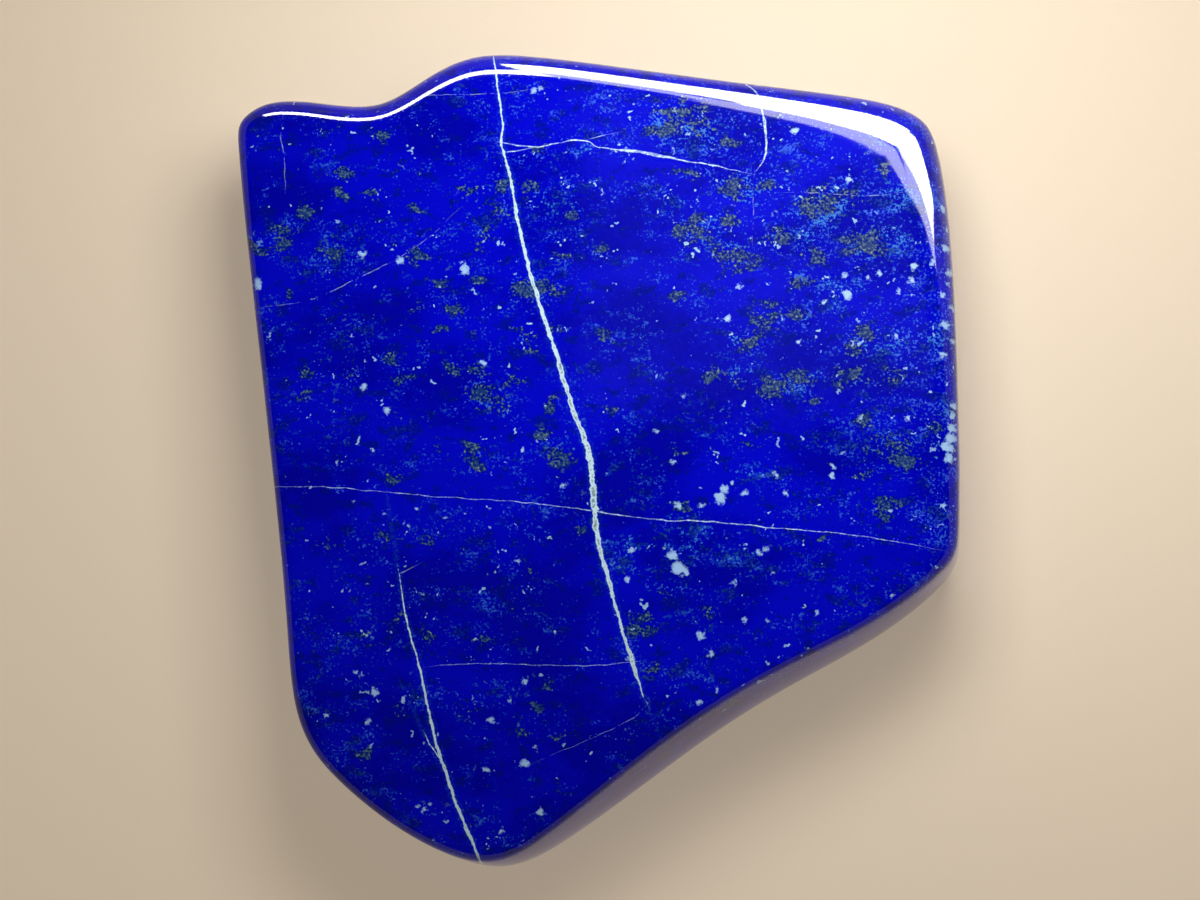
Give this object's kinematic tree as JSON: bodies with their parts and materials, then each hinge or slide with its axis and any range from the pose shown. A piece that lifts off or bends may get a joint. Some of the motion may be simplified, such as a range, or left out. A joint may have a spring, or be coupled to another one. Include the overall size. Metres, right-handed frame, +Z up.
{
  "type": "polished lapis lazuli slab",
  "caption": "Freeform slab of deep blue lapis lazuli with a flat polished face, rolled edges and smooth walls, lying on the flat spot of its back.",
  "frame": {"origin": "on the resting surface, under the middle of the slab's outline", "axes": "+Z up out of the polished face, +Y along the slab's length towards its stepped end, +X to the right seen from above"},
  "size_m": [0.0878, 0.099, 0.02],
  "materials": {
    "polished_lapis": "high polish, deep ultramarine with white calcite veins and specks and small pyrite grains"
  },
  "bodies": {
    "root": {"lapis_stone": "polished_lapis"}
  },
  "joints": []
}
